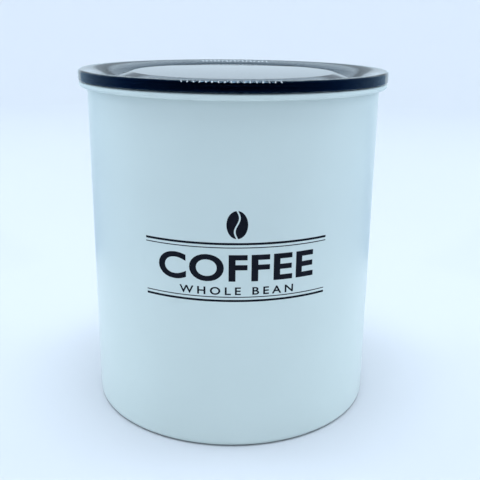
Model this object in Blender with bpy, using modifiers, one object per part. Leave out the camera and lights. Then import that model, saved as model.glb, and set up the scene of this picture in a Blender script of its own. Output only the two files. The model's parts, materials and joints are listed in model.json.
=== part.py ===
"""Coffee canister: a steel can with a press-on lid and an air-displacing plunger lid inside.

The can is a straight coated steel wall with a curled rim, and a base disc seated in its turned-in lower edge.
A moulded lid rests on the rim. Inside, a plunger disc with a double-lip gasket slides down onto the beans.
Raising the plunger's bail handle turns a cam shaft, which lifts a sprung poppet and lets the air out.

Metres, +Z up. The origin is on the can's axis, in the plane that it stands on. The front faces -Y.
"""

import math

import bmesh
import bpy
from mathutils import Matrix

OBJECT_NAME = "coffee_canister"

# Driving dimensions of the can
TOTAL_HEIGHT = 0.2030
CAN_RADIUS = 0.0859
RIM_RADIUS = 0.0905
LID_RADIUS = 0.0909
SHEET = 0.0008
FIT_GAP = 0.0003
SMALL_BEVEL = 0.0004
TURN_STEPS = 48
SMALL_TURN_STEPS = 32
ROD_STEPS = 24
SHARP_ANGLE = math.radians(35)

# Can wall: curled rim above, turned-in edge below
CAN_BORE = CAN_RADIUS - SHEET
CURL_BOTTOM = 0.1933
CURL_TOP = 0.1969
CURL_END_ANGLE = -115
BEAD_FULLNESS = 0.70
FOOT_CORNER = 0.0030
FOOT_INNER_RADIUS = 0.0795

# Base disc, with a flange that stands up against the wall
BASE_UNDERSIDE = 0.0013
BASE_SHEET = 0.0009
BASE_FLANGE_TOP = 0.0070
BASE_CORNER = 0.0015

# Outer lid: raised flat centre, cone, trough, rounded ring up to the crest, rounded edge, lip, seat and skirt.
# The ring is cored out from below, between the skirt and the edge.
LID_SHEET = 0.0022
PLATEAU_TOP = 0.2014
PLATEAU_RADIUS = 0.0595
PLATEAU_EDGE_RUN = 0.0015
PLATEAU_EDGE_DROP = 0.0004
CONE_SLOPE = 0.30
CONE_OUTER_RADIUS = 0.0718
TROUGH_INNER_RADIUS = 0.0724
TROUGH_OUTER_RADIUS = 0.0738
TROUGH_BOTTOM = 0.1973
RING_INNER_RADIUS = 0.0777
RING_CURVE = 0.0250
CREST_ROUNDING = 0.0016
CREST_RADIUS = LID_RADIUS - CREST_ROUNDING
LIP_BOTTOM = 0.1972
LIP_ROUNDING = 0.0005
LIP_INNER_RADIUS = 0.0894
SEAT_HEIGHT = 0.1982
SKIRT_RADIUS = 0.0836
SKIRT_WALL = 0.0020
SKIRT_BOTTOM = 0.1900
CORE_OUTER_RADIUS = 0.0888
CORE_TOP = 0.2007
CORE_HEAD_RADIUS = 0.0858
CORE_FOOT_RADIUS = 0.0850
SHOULDER_TOP = 0.1994
SHOULDER_INNER_RADIUS = 0.0793
SHOULDER_INNER_HEIGHT = 0.1984
UNDERSIDE_BEND_RADIUS = 0.0752

# Lid gasket: a flat flange on the rim and a sleeve round the skirt, with a lip at its foot
LID_GASKET_SHEET = 0.0007
LID_GASKET_RADIUS = LIP_INNER_RADIUS - FIT_GAP
LID_GASKET_LIP_RADIUS = CAN_BORE - FIT_GAP
LID_GASKET_BOTTOM = 0.1936
LID_GASKET_LIP_HEIGHT = 0.0012

# Plunger: from here on, heights are above or below the top of its deck
DECK_TOP = 0.1320
DECK_SHEET = 0.0025
DECK_RADIUS = 0.0804
DECK_WALL = 0.0020
DECK_WALL_HEIGHT = 0.0140
DECK_WALL_BEVEL = 0.0006
GASKET_CORE_TOP = -DECK_SHEET - FIT_GAP
GASKET_CORE_HEIGHT = 0.0030
GASKET_CORE_RADIUS = DECK_RADIUS + 0.0014
GASKET_ROOT_RADIUS = DECK_RADIUS + 0.0006
GASKET_LIP_RADIUS = CAN_BORE - FIT_GAP
GASKET_LIP_REACH = 0.0025
GASKET_LIP_SHEET = 0.0006
CLAMP_SPIGOT_RADIUS = 0.0766
CLAMP_INNER_RADIUS = 0.0700
CLAMP_SHEET = 0.0022

# Valve, on the plunger's axis
PORT_RADIUS = 0.0090
VALVE_SEAT_HEIGHT = 0.0010
VALVE_SEAT_WIDTH = 0.0020
POPPET_RADIUS = 0.0125
POPPET_BOSS_RADIUS = 0.0065
POPPET_BOSS_BOTTOM = 0.0012
POPPET_UNDERSIDE = 0.0026
POPPET_SHEET = 0.0009
SEAL_RADIUS = 0.0120
SEAL_SHEET = 0.0010
VALVE_LIFT = 0.0020
GRILLE_RADIUS = 0.0137
GRILLE_SHEET = 0.0014
GRILLE_DEPTH = 0.0011
GRILLE_HOLE_RADIUS = 0.0021
GRILLE_HOLE_CIRCLE = 0.0080
GRILLE_HOLES = 6
COLLAR_WALL = 0.0020
COLLAR_HEIGHT = 0.0030
HOUSING_RADIUS = 0.0170
HOUSING_WALL = 0.0018
HOUSING_TOP = 0.0215
HOUSING_CEILING = 0.0195
HOUSING_DOME = 0.0060
SLOT_CLEARANCE = 0.0007
SPRING_TURNS = 4
SPRING_STEPS_PER_TURN = 14
SPRING_RADIUS = 0.0048
SPRING_WIRE_RADIUS = 0.00045
SPIGOT_RADIUS = 0.0032
SPIGOT_HEIGHT = 0.0020

# Handle and its cam shaft, which turn about a line along X
HANDLE_AXIS_HEIGHT = 0.0088
SHAFT_RADIUS = 0.0020
SHAFT_HALF_LENGTH = 0.0417
CAM_BASE_RADIUS = 0.0024
CAM_HALF_WIDTH = 0.0034
CAM_PLAY = 0.00015
CAM_STEP_DEGREES = 10
YOKE_HALF_WIDTH = 0.0040
YOKE_WALL = 0.0018
YOKE_FOOT = 0.0004
YOKE_SIDE_PLAY = 0.0005
LUG_INNER_X = 0.0260
LUG_THICKNESS = 0.0040
LUG_HALF_WIDTH = 0.0055
BAIL_HALF_SPAN = 0.0400
BAIL_ARM = 0.0140
BAIL_BOW = 0.0280
BAIL_BOW_STEPS = 20
BAIL_TUBE_RADIUS = 0.0040
HUB_RADIUS = 0.0055
HUB_HALF_LENGTH = 0.0040
REST_PAD_RADIUS = 0.0035
REST_PAD_ANGLE = math.radians(60)


def clear_scene():
    for obj in list(bpy.data.objects):
        bpy.data.objects.remove(obj, do_unlink=True)


def new_collection(name):
    collection = bpy.data.collections.new(name)
    bpy.context.scene.collection.children.link(collection)
    return collection


def principled(name, color, roughness, metallic=0.0, transmission=0.0):
    material = bpy.data.materials.new(name)
    material.use_nodes = True
    shader = material.node_tree.nodes["Principled BSDF"]
    shader.inputs["Base Color"].default_value = (*color, 1.0)
    shader.inputs["Roughness"].default_value = roughness
    shader.inputs["Metallic"].default_value = metallic
    shader.inputs["Transmission Weight"].default_value = transmission
    return material


def finish_object(obj, material, collection):
    """Smooth shading with sharp edges kept, one material, and the right collection."""
    obj.data.shade_smooth()
    obj.data.set_sharp_from_angle(angle=SHARP_ANGLE)
    obj.data.materials.clear()
    obj.data.materials.append(material)
    for old in list(obj.users_collection):
        old.objects.unlink(obj)
    collection.objects.link(obj)
    return obj


def baked(obj, name):
    """A mesh object that holds the evaluated shape of obj, which is removed."""
    bpy.context.view_layer.update()
    graph = bpy.context.evaluated_depsgraph_get()
    mesh = bpy.data.meshes.new_from_object(obj.evaluated_get(graph))
    work = bmesh.new()
    work.from_mesh(mesh)
    bmesh.ops.remove_doubles(work, verts=work.verts, dist=1e-6)
    work.to_mesh(mesh)
    work.free()
    mesh.name = name
    result = bpy.data.objects.new(name, mesh)
    result.matrix_world = obj.matrix_world
    bpy.data.objects.remove(obj, do_unlink=True)
    bpy.context.scene.collection.objects.link(result)
    return result


def arc(centre_r, centre_z, radius_r, radius_z, start, end, steps):
    """Points of an elliptic arc in the profile plane, angles in degrees from +r towards +z."""
    points = []
    for step in range(steps + 1):
        angle = math.radians(start + (end - start) * step / steps)
        points.append((centre_r + radius_r * math.cos(angle), centre_z + radius_z * math.sin(angle)))
    return points


def squared_arc(centre_r, centre_z, radius_r, radius_z, start, end, steps):
    """As arc, but the oval is fuller at its shoulders."""
    points = []
    for r, z in arc(0, 0, 1, 1, start, end, steps):
        full_r = math.copysign(abs(r) ** BEAD_FULLNESS, r)
        full_z = math.copysign(abs(z) ** BEAD_FULLNESS, z)
        points.append((centre_r + radius_r * full_r, centre_z + radius_z * full_z))
    return points


def turned(name, profile, closed, steps=TURN_STEPS):
    """A profile of (radius, height) points, outer side running down, screwed round Z."""
    mesh = bpy.data.meshes.new(name + "_profile")
    work = bmesh.new()
    corners = [work.verts.new((radius, 0.0, height)) for radius, height in profile]
    for first, second in zip(corners, corners[1:]):
        work.edges.new((first, second))
    if closed:
        work.edges.new((corners[-1], corners[0]))
    work.to_mesh(mesh)
    work.free()
    outline = bpy.data.objects.new(name + "_profile", mesh)
    bpy.context.scene.collection.objects.link(outline)
    screw = outline.modifiers.new("turn", "SCREW")
    screw.axis = "Z"
    screw.angle = 2 * math.pi
    screw.steps = steps
    screw.render_steps = steps
    screw.use_merge_vertices = True
    screw.merge_threshold = 1e-5
    return baked(outline, name)


def circle_points(radius, steps, centre=(0.0, 0.0)):
    points = []
    for step in range(steps):
        angle = 2 * math.pi * step / steps
        points.append((centre[0] + radius * math.cos(angle), centre[1] + radius * math.sin(angle)))
    return points


def extruded(name, outlines, half_thickness):
    """Flat outlines in local XY, the later ones holes in the first, thickened along local Z."""
    data = bpy.data.curves.new(name + "_outline", "CURVE")
    data.dimensions = "2D"
    data.fill_mode = "BOTH"
    data.extrude = half_thickness
    for outline in outlines:
        spline = data.splines.new("POLY")
        spline.points.add(len(outline) - 1)
        for point, (x, y) in zip(spline.points, outline):
            point.co = (x, y, 0.0, 1.0)
        spline.use_cyclic_u = True
    curve = bpy.data.objects.new(name + "_outline", data)
    bpy.context.scene.collection.objects.link(curve)
    return baked(curve, name)


def tube(name, points, radius, resolution, cyclic=False):
    data = bpy.data.curves.new(name + "_path", "CURVE")
    data.dimensions = "3D"
    data.bevel_depth = radius
    data.bevel_resolution = resolution
    data.use_fill_caps = not cyclic
    spline = data.splines.new("POLY")
    spline.points.add(len(points) - 1)
    for point, place in zip(spline.points, points):
        point.co = (*place, 1.0)
    spline.use_cyclic_u = cyclic
    curve = bpy.data.objects.new(name + "_path", data)
    bpy.context.scene.collection.objects.link(curve)
    return baked(curve, name)


def cylinder(name, radius, depth, steps=SMALL_TURN_STEPS):
    """A cylinder about local Z, centred on its own origin."""
    mesh = bpy.data.meshes.new(name)
    work = bmesh.new()
    bmesh.ops.create_cone(
        work, cap_ends=True, segments=steps, radius1=radius, radius2=radius, depth=depth
    )
    work.to_mesh(mesh)
    work.free()
    obj = bpy.data.objects.new(name, mesh)
    bpy.context.scene.collection.objects.link(obj)
    return obj


def box(name, size):
    mesh = bpy.data.meshes.new(name)
    work = bmesh.new()
    bmesh.ops.create_cube(work, size=1.0)
    bmesh.ops.scale(work, vec=size, verts=work.verts)
    work.to_mesh(mesh)
    work.free()
    obj = bpy.data.objects.new(name, mesh)
    bpy.context.scene.collection.objects.link(obj)
    return obj


def lay_along_x(obj):
    """Turns the mesh so that its local Z runs along X, its local X along Y and its local Y along Z."""
    turn = Matrix(((0, 0, 1, 0), (1, 0, 0, 0), (0, 1, 0, 0), (0, 0, 0, 1)))
    obj.data.transform(turn)
    return obj


def combine(target, other, operation, cutters):
    """A Boolean of other on target. The other object goes to the cutters and is left out of the build."""
    for old in list(other.users_collection):
        old.objects.unlink(other)
    cutters.objects.link(other)
    other.hide_render = True
    other.display_type = "WIRE"
    boolean = target.modifiers.new(operation.lower() + "_" + other.name, "BOOLEAN")
    boolean.operation = operation
    boolean.object = other


def can_wall():
    centre_r = (CAN_BORE + RIM_RADIUS) / 2
    centre_z = (CURL_BOTTOM + CURL_TOP) / 2
    half_width = (RIM_RADIUS - CAN_BORE) / 2
    half_height = (CURL_TOP - CURL_BOTTOM) / 2
    corner_r = CAN_RADIUS - FOOT_CORNER
    inner_corner = FOOT_CORNER - SHEET
    outer_curl = squared_arc(centre_r, centre_z, half_width, half_height, 180, CURL_END_ANGLE, 13)
    inner_size = (half_width - SHEET, half_height - SHEET)
    inner_curl = squared_arc(centre_r, centre_z, *inner_size, CURL_END_ANGLE, 180, 8)
    outer_foot = arc(corner_r, FOOT_CORNER, FOOT_CORNER, FOOT_CORNER, 0, -90, 3)
    foot_edge = [(FOOT_INNER_RADIUS, 0.0), (FOOT_INNER_RADIUS, SHEET)]
    inner_foot = arc(corner_r, FOOT_CORNER, inner_corner, inner_corner, -90, 0, 2)
    return turned("can_wall", outer_curl + inner_curl + outer_foot + foot_edge + inner_foot, True)


def can_base():
    outside = CAN_BORE - FIT_GAP
    inside = outside - BASE_SHEET
    top = BASE_UNDERSIDE + BASE_SHEET
    inner_corner = BASE_CORNER - BASE_SHEET / 2
    outer_centre = (outside - BASE_CORNER, BASE_UNDERSIDE + BASE_CORNER)
    profile = [(0.0, top)]
    profile += arc(inside - inner_corner, top + inner_corner, inner_corner, inner_corner, -90, 0, 2)
    profile += [(inside, BASE_FLANGE_TOP), (outside, BASE_FLANGE_TOP)]
    profile += arc(*outer_centre, BASE_CORNER, BASE_CORNER, 0, -90, 2)
    profile += [(0.0, BASE_UNDERSIDE)]
    return turned("can_base", profile, False)


def lid_ring(steps):
    """The rounded slope from above the trough up to the crest, where it is level."""
    sweep = math.degrees(math.asin((CREST_RADIUS - RING_INNER_RADIUS) / RING_CURVE))
    return arc(CREST_RADIUS, TOTAL_HEIGHT - RING_CURVE, RING_CURVE, RING_CURVE, 90 + sweep, 90, steps)


def outer_lid():
    edge_radius = PLATEAU_RADIUS + PLATEAU_EDGE_RUN
    edge_height = PLATEAU_TOP - PLATEAU_EDGE_DROP
    cone_bottom = edge_height - (CONE_OUTER_RADIUS - edge_radius) * CONE_SLOPE
    top = [(0.0, PLATEAU_TOP), (PLATEAU_RADIUS, PLATEAU_TOP), (edge_radius, edge_height)]
    top += [(CONE_OUTER_RADIUS, cone_bottom), (TROUGH_INNER_RADIUS, TROUGH_BOTTOM)]
    top += [(TROUGH_OUTER_RADIUS, TROUGH_BOTTOM)] + lid_ring(6)
    edge_centre = (CREST_RADIUS, TOTAL_HEIGHT - CREST_ROUNDING)
    outside = arc(*edge_centre, CREST_ROUNDING, CREST_ROUNDING, 90, 0, 5)[1:]
    lip_centre = (LID_RADIUS - LIP_ROUNDING, LIP_BOTTOM + LIP_ROUNDING)
    outside += arc(*lip_centre, LIP_ROUNDING, LIP_ROUNDING, 0, -90, 3)
    seat = [(LIP_INNER_RADIUS, LIP_BOTTOM), (LIP_INNER_RADIUS, SEAT_HEIGHT)]
    core = [(CORE_OUTER_RADIUS, SEAT_HEIGHT), (CORE_OUTER_RADIUS, CORE_TOP)]
    core += [(CORE_HEAD_RADIUS, CORE_TOP), (CORE_FOOT_RADIUS, SEAT_HEIGHT)]
    skirt_inside = SKIRT_RADIUS - SKIRT_WALL
    skirt = [(SKIRT_RADIUS, SEAT_HEIGHT), (SKIRT_RADIUS, SKIRT_BOTTOM), (skirt_inside, SKIRT_BOTTOM)]
    underside = [(skirt_inside, SHOULDER_TOP), (SHOULDER_INNER_RADIUS, SHOULDER_INNER_HEIGHT)]
    underside += [(UNDERSIDE_BEND_RADIUS, TROUGH_BOTTOM - LID_SHEET)]
    underside += [(TROUGH_INNER_RADIUS, TROUGH_BOTTOM - LID_SHEET)]
    underside += [(PLATEAU_RADIUS, PLATEAU_TOP - LID_SHEET), (0.0, PLATEAU_TOP - LID_SHEET)]
    return turned("outer_lid", top + outside + seat + core + skirt + underside, False)


def lid_gasket():
    top = SEAT_HEIGHT - FIT_GAP
    flange_bottom = top - LID_GASKET_SHEET
    inside = SKIRT_RADIUS + FIT_GAP
    sleeve = LID_GASKET_LIP_RADIUS - SMALL_BEVEL
    lip_top = LID_GASKET_BOTTOM + LID_GASKET_LIP_HEIGHT
    profile = [(inside, top), (LID_GASKET_RADIUS, top), (LID_GASKET_RADIUS, flange_bottom)]
    profile += [(sleeve, flange_bottom), (sleeve, lip_top)]
    profile += [(LID_GASKET_LIP_RADIUS, lip_top - SMALL_BEVEL), (sleeve, LID_GASKET_BOTTOM)]
    profile += [(inside, LID_GASKET_BOTTOM)]
    return turned("lid_gasket", profile, True)


def lug(name, side, cutters, deck):
    """A bearing post on the deck, round at its top and holed for the cam shaft."""
    outline = [(-LUG_HALF_WIDTH, -DECK_SHEET / 2), (LUG_HALF_WIDTH, -DECK_SHEET / 2)]
    outline += arc(0.0, HANDLE_AXIS_HEIGHT, LUG_HALF_WIDTH, LUG_HALF_WIDTH, 0, 180, 12)
    hole = circle_points(SHAFT_RADIUS + FIT_GAP, ROD_STEPS, (0.0, HANDLE_AXIS_HEIGHT))
    post = lay_along_x(extruded(name, [outline, hole], LUG_THICKNESS / 2))
    post.location = (side * (LUG_INNER_X + LUG_THICKNESS / 2), 0.0, DECK_TOP)
    combine(deck, post, "UNION", cutters)


def rest_pad(name, side, cutters, deck):
    """A low post on the deck, which the folded bail lies on."""
    height = HANDLE_AXIS_HEIGHT - BAIL_TUBE_RADIUS - FIT_GAP
    sunk = DECK_SHEET / 2
    pad = cylinder(name, REST_PAD_RADIUS, height + sunk, ROD_STEPS)
    pad.location = (
        side * BAIL_HALF_SPAN * math.cos(REST_PAD_ANGLE),
        BAIL_ARM + BAIL_BOW * math.sin(REST_PAD_ANGLE),
        DECK_TOP + (height - sunk) / 2,
    )
    combine(deck, pad, "UNION", cutters)


def plunger_deck(cutters):
    wall_inside = DECK_RADIUS - DECK_WALL
    wall_bevel_bottom = DECK_WALL_HEIGHT - DECK_WALL_BEVEL
    seat_outside = PORT_RADIUS + VALVE_SEAT_WIDTH
    collar_inside = GRILLE_RADIUS + FIT_GAP
    collar_outside = collar_inside + COLLAR_WALL
    collar_bottom = -DECK_SHEET - COLLAR_HEIGHT
    profile = [(PORT_RADIUS, VALVE_SEAT_HEIGHT), (seat_outside, VALVE_SEAT_HEIGHT)]
    profile += [(seat_outside + SMALL_BEVEL, 0.0), (wall_inside - DECK_WALL_BEVEL, 0.0)]
    profile += [(wall_inside, DECK_WALL_BEVEL), (wall_inside, wall_bevel_bottom)]
    profile += [(wall_inside + DECK_WALL_BEVEL, DECK_WALL_HEIGHT)]
    profile += [(DECK_RADIUS - DECK_WALL_BEVEL, DECK_WALL_HEIGHT), (DECK_RADIUS, wall_bevel_bottom)]
    profile += [(DECK_RADIUS, -DECK_SHEET), (collar_outside, -DECK_SHEET)]
    profile += [(collar_outside, collar_bottom), (collar_inside, collar_bottom)]
    profile += [(collar_inside, -DECK_SHEET), (PORT_RADIUS, -DECK_SHEET)]
    deck = turned("plunger_deck", profile, True)
    deck.location = (0.0, 0.0, DECK_TOP)
    for side, word in ((-1, "left"), (1, "right")):
        lug("lug_" + word, side, cutters, deck)
        rest_pad("rest_pad_" + word, side, cutters, deck)
    return deck


def plunger_gasket():
    """A core clamped under the deck, and two wiping lips that flare up and down to the can's wall."""
    top = GASKET_CORE_TOP
    bottom = top - GASKET_CORE_HEIGHT
    inside = CLAMP_SPIGOT_RADIUS + FIT_GAP
    lip = GASKET_LIP_RADIUS
    thick = GASKET_LIP_SHEET
    profile = [(inside, top), (GASKET_ROOT_RADIUS, top)]
    profile += [(lip - thick, top + GASKET_LIP_REACH), (lip, top + GASKET_LIP_REACH - thick)]
    profile += [(GASKET_CORE_RADIUS, top - thick), (GASKET_CORE_RADIUS, bottom + thick)]
    profile += [(lip, bottom - GASKET_LIP_REACH + thick), (lip - thick, bottom - GASKET_LIP_REACH)]
    profile += [(GASKET_ROOT_RADIUS, bottom), (inside, bottom)]
    gasket = turned("plunger_gasket", profile, True)
    gasket.location = (0.0, 0.0, DECK_TOP)
    return gasket


def plunger_clamp_ring():
    flange_top = GASKET_CORE_TOP - GASKET_CORE_HEIGHT - FIT_GAP
    bottom = flange_top - CLAMP_SHEET
    profile = [(CLAMP_INNER_RADIUS, GASKET_CORE_TOP), (CLAMP_SPIGOT_RADIUS, GASKET_CORE_TOP)]
    profile += [(CLAMP_SPIGOT_RADIUS, flange_top), (DECK_RADIUS, flange_top)]
    profile += [(DECK_RADIUS, bottom + SMALL_BEVEL), (DECK_RADIUS - SMALL_BEVEL, bottom)]
    profile += [(CLAMP_INNER_RADIUS + SMALL_BEVEL, bottom), (CLAMP_INNER_RADIUS, bottom + SMALL_BEVEL)]
    ring = turned("plunger_clamp_ring", profile, True)
    ring.location = (0.0, 0.0, DECK_TOP)
    return ring


def valve_grille():
    """A perforated disc in the collar under the port, which keeps the beans out of the valve."""
    outlines = [circle_points(GRILLE_RADIUS, SMALL_TURN_STEPS)]
    outlines.append(circle_points(GRILLE_HOLE_RADIUS, ROD_STEPS // 2))
    for x, y in circle_points(GRILLE_HOLE_CIRCLE, GRILLE_HOLES):
        outlines.append(circle_points(GRILLE_HOLE_RADIUS, ROD_STEPS // 2, (x, y)))
    grille = extruded("valve_grille", outlines, GRILLE_SHEET / 2)
    grille.location = (0.0, 0.0, DECK_TOP - DECK_SHEET - GRILLE_DEPTH - GRILLE_SHEET / 2)
    return grille


def valve_housing(cutters):
    """A domed cover over the valve, slotted at its foot where the cam shaft passes."""
    dome = HOUSING_DOME
    bore = HOUSING_RADIUS - HOUSING_WALL
    profile = [(0.0, HOUSING_TOP)]
    profile += arc(HOUSING_RADIUS - dome, HOUSING_TOP - dome, dome, dome, 90, 0, 4)
    profile += [(HOUSING_RADIUS, FIT_GAP), (bore, FIT_GAP)]
    profile += arc(bore - dome, HOUSING_CEILING - dome, dome, dome, 0, 90, 3)
    profile += [(0.0, HOUSING_CEILING)]
    housing = turned("valve_housing", profile, False, SMALL_TURN_STEPS)
    housing.location = (0.0, 0.0, DECK_TOP)
    slot_half_width = SHAFT_RADIUS + SLOT_CLEARANCE
    slot_top = HANDLE_AXIS_HEIGHT + slot_half_width
    slot = box("shaft_slot", (3 * HOUSING_RADIUS, 2 * slot_half_width, 2 * slot_top))
    slot.location = (0.0, 0.0, DECK_TOP)
    combine(housing, slot, "DIFFERENCE", cutters)
    return housing


def yoke_window():
    """Bottom and top of the yoke's window, which the cam turns in, and half its width."""
    bottom = POPPET_UNDERSIDE + POPPET_SHEET + YOKE_FOOT
    top = HANDLE_AXIS_HEIGHT + CAM_BASE_RADIUS + CAM_PLAY
    return bottom, top, CAM_BASE_RADIUS + VALVE_LIFT + YOKE_SIDE_PLAY


def valve_poppet(cutters):
    """The valve's disc, with a yoke round the cam and a spigot in the spring."""
    top = POPPET_UNDERSIDE + POPPET_SHEET
    profile = [(0.0, top), (POPPET_RADIUS - SMALL_BEVEL, top), (POPPET_RADIUS, top - SMALL_BEVEL)]
    profile += [(POPPET_RADIUS, POPPET_UNDERSIDE), (POPPET_BOSS_RADIUS, POPPET_UNDERSIDE)]
    profile += [(POPPET_BOSS_RADIUS, POPPET_BOSS_BOTTOM), (0.0, POPPET_BOSS_BOTTOM)]
    poppet = turned("valve_poppet", profile, False, SMALL_TURN_STEPS)
    poppet.location = (0.0, 0.0, DECK_TOP)
    low, high, half = yoke_window()
    outer = half + YOKE_WALL
    yoke_top = high + YOKE_WALL
    outline = [(-outer, top - YOKE_FOOT), (outer, top - YOKE_FOOT), (outer, yoke_top), (-outer, yoke_top)]
    window = [(-half, low), (half, low), (half, high), (-half, high)]
    yoke = lay_along_x(extruded("poppet_yoke", [outline, window], YOKE_HALF_WIDTH))
    yoke.location = (0.0, 0.0, DECK_TOP)
    combine(poppet, yoke, "UNION", cutters)
    sunk = YOKE_WALL / 2
    spigot = cylinder("poppet_spigot", SPIGOT_RADIUS, SPIGOT_HEIGHT + sunk, ROD_STEPS)
    spigot.location = (0.0, 0.0, DECK_TOP + yoke_top + (SPIGOT_HEIGHT - sunk) / 2)
    combine(poppet, spigot, "UNION", cutters)
    return poppet


def valve_seal():
    inside = POPPET_BOSS_RADIUS + FIT_GAP
    bottom = VALVE_SEAT_HEIGHT + FIT_GAP
    top = bottom + SEAL_SHEET
    profile = [(inside, top), (SEAL_RADIUS, top), (SEAL_RADIUS, bottom), (inside, bottom)]
    seal = turned("valve_seal", profile, True, SMALL_TURN_STEPS)
    seal.location = (0.0, 0.0, DECK_TOP)
    return seal


def valve_spring():
    """A coil between the yoke and the housing's ceiling."""
    margin = FIT_GAP + SPRING_WIRE_RADIUS
    bottom = yoke_window()[1] + YOKE_WALL + margin
    top = HOUSING_CEILING - margin
    count = SPRING_TURNS * SPRING_STEPS_PER_TURN
    points = []
    for step in range(count + 1):
        angle = 2 * math.pi * step / SPRING_STEPS_PER_TURN
        height = bottom + (top - bottom) * step / count
        points.append((SPRING_RADIUS * math.cos(angle), SPRING_RADIUS * math.sin(angle), height))
    spring = tube("valve_spring", points, SPRING_WIRE_RADIUS, 1)
    spring.location = (0.0, 0.0, DECK_TOP)
    return spring


def cam_outline():
    """The cam's section in Y and Z with the handle folded.

    Its support distance grows evenly as the shaft turns, so the flat follower rises evenly by VALVE_LIFT
    over a quarter turn. The rest of the cam is a circle of CAM_BASE_RADIUS and the line from it to the nose.
    """
    rate = -VALVE_LIFT / (math.pi / 2)
    points = []
    for degrees in range(0, 90 + CAM_STEP_DEGREES, CAM_STEP_DEGREES):
        normal = math.radians(degrees)
        support = CAM_BASE_RADIUS + VALVE_LIFT + rate * normal
        y = support * math.cos(normal) - rate * math.sin(normal)
        z = support * math.sin(normal) + rate * math.cos(normal)
        points.append((y, z))
    nose_y, nose_z = points[0]
    reach = math.hypot(nose_y, nose_z)
    tangent = math.atan2(nose_z, nose_y) - math.acos(CAM_BASE_RADIUS / reach)
    return points + arc(
        0.0, 0.0, CAM_BASE_RADIUS, CAM_BASE_RADIUS, 90, math.degrees(tangent) + 360, 12
    )


def cam_shaft(cutters):
    shaft = lay_along_x(cylinder("cam_shaft", SHAFT_RADIUS, 2 * SHAFT_HALF_LENGTH, ROD_STEPS))
    shaft.location = (0.0, 0.0, DECK_TOP + HANDLE_AXIS_HEIGHT)
    cam = lay_along_x(extruded("cam", [cam_outline()], CAM_HALF_WIDTH))
    cam.location = shaft.location
    combine(shaft, cam, "UNION", cutters)
    return shaft


def bail_points():
    """The bail's centre line, folded flat towards the back, about its own joint axis."""
    points = [(-BAIL_HALF_SPAN, 0.0, 0.0), (-BAIL_HALF_SPAN, BAIL_ARM / 2, 0.0)]
    for x, y in arc(0.0, BAIL_ARM, BAIL_HALF_SPAN, BAIL_BOW, 180, 0, BAIL_BOW_STEPS):
        points.append((x, y, 0.0))
    points += [(BAIL_HALF_SPAN, BAIL_ARM / 2, 0.0), (BAIL_HALF_SPAN, 0.0, 0.0)]
    return points


def bail_handle(cutters):
    """A round bail with a hub at each end, which has a blind socket for the cam shaft."""
    bail = tube("bail_handle", bail_points(), BAIL_TUBE_RADIUS, 3)
    axis_height = DECK_TOP + HANDLE_AXIS_HEIGHT
    bail.location = (0.0, 0.0, axis_height)
    hub_inner_x = BAIL_HALF_SPAN - HUB_HALF_LENGTH
    socket_depth = SHAFT_HALF_LENGTH + FIT_GAP - hub_inner_x
    for side, word in ((-1, "left"), (1, "right")):
        hub = lay_along_x(cylinder("hub_" + word, HUB_RADIUS, 2 * HUB_HALF_LENGTH, ROD_STEPS))
        hub.location = (side * BAIL_HALF_SPAN, 0.0, axis_height)
        combine(bail, hub, "UNION", cutters)
    for side, word in ((-1, "left"), (1, "right")):
        socket = cylinder("socket_" + word, SHAFT_RADIUS + FIT_GAP, 2 * socket_depth, ROD_STEPS)
        lay_along_x(socket).location = (side * hub_inner_x, 0.0, axis_height)
        combine(bail, socket, "DIFFERENCE", cutters)
    return bail


def main():
    clear_scene()
    parts = new_collection(OBJECT_NAME)
    cutters = new_collection("cutters")
    coated_steel = principled("coated_steel", (0.70, 0.76, 0.79), 0.45)
    bare_steel = principled("bare_steel", (0.62, 0.62, 0.62), 0.32, metallic=1.0)
    smoke_plastic = principled("smoke_plastic", (0.018, 0.021, 0.028), 0.12)
    lid_seal = principled("lid_seal", (0.025, 0.020, 0.018), 0.60)
    black_plastic = principled("black_plastic", (0.022, 0.022, 0.024), 0.35)
    clear_silicone = principled("clear_silicone", (0.55, 0.57, 0.58), 0.50)
    grey_plastic = principled("grey_plastic", (0.12, 0.12, 0.125), 0.40)
    spring_steel = principled("spring_steel", (0.55, 0.55, 0.56), 0.25, metallic=1.0)
    handle_plastic = principled("handle_plastic", (0.10, 0.10, 0.105), 0.38)
    finish_object(can_wall(), coated_steel, parts)
    finish_object(can_base(), bare_steel, parts)
    finish_object(outer_lid(), smoke_plastic, parts)
    finish_object(lid_gasket(), lid_seal, parts)
    finish_object(plunger_deck(cutters), black_plastic, parts)
    finish_object(plunger_gasket(), clear_silicone, parts)
    finish_object(plunger_clamp_ring(), black_plastic, parts)
    finish_object(valve_grille(), grey_plastic, parts)
    finish_object(valve_housing(cutters), grey_plastic, parts)
    finish_object(valve_poppet(cutters), grey_plastic, parts)
    finish_object(valve_seal(), clear_silicone, parts)
    finish_object(valve_spring(), spring_steel, parts)
    finish_object(cam_shaft(cutters), bare_steel, parts)
    finish_object(bail_handle(cutters), handle_plastic, parts)


main()
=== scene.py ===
"""Looks for the coffee canister: turned shells, inner fittings, materials, print, stage, light and camera.

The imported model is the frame. Pieces that replace its nodes are turned or drawn again here at a finer step,
to the same sizes, and every other node keeps its shape and gets its material from here.
"""

import json
import math

import bmesh
import bpy
from mathutils import Matrix, Vector


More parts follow.
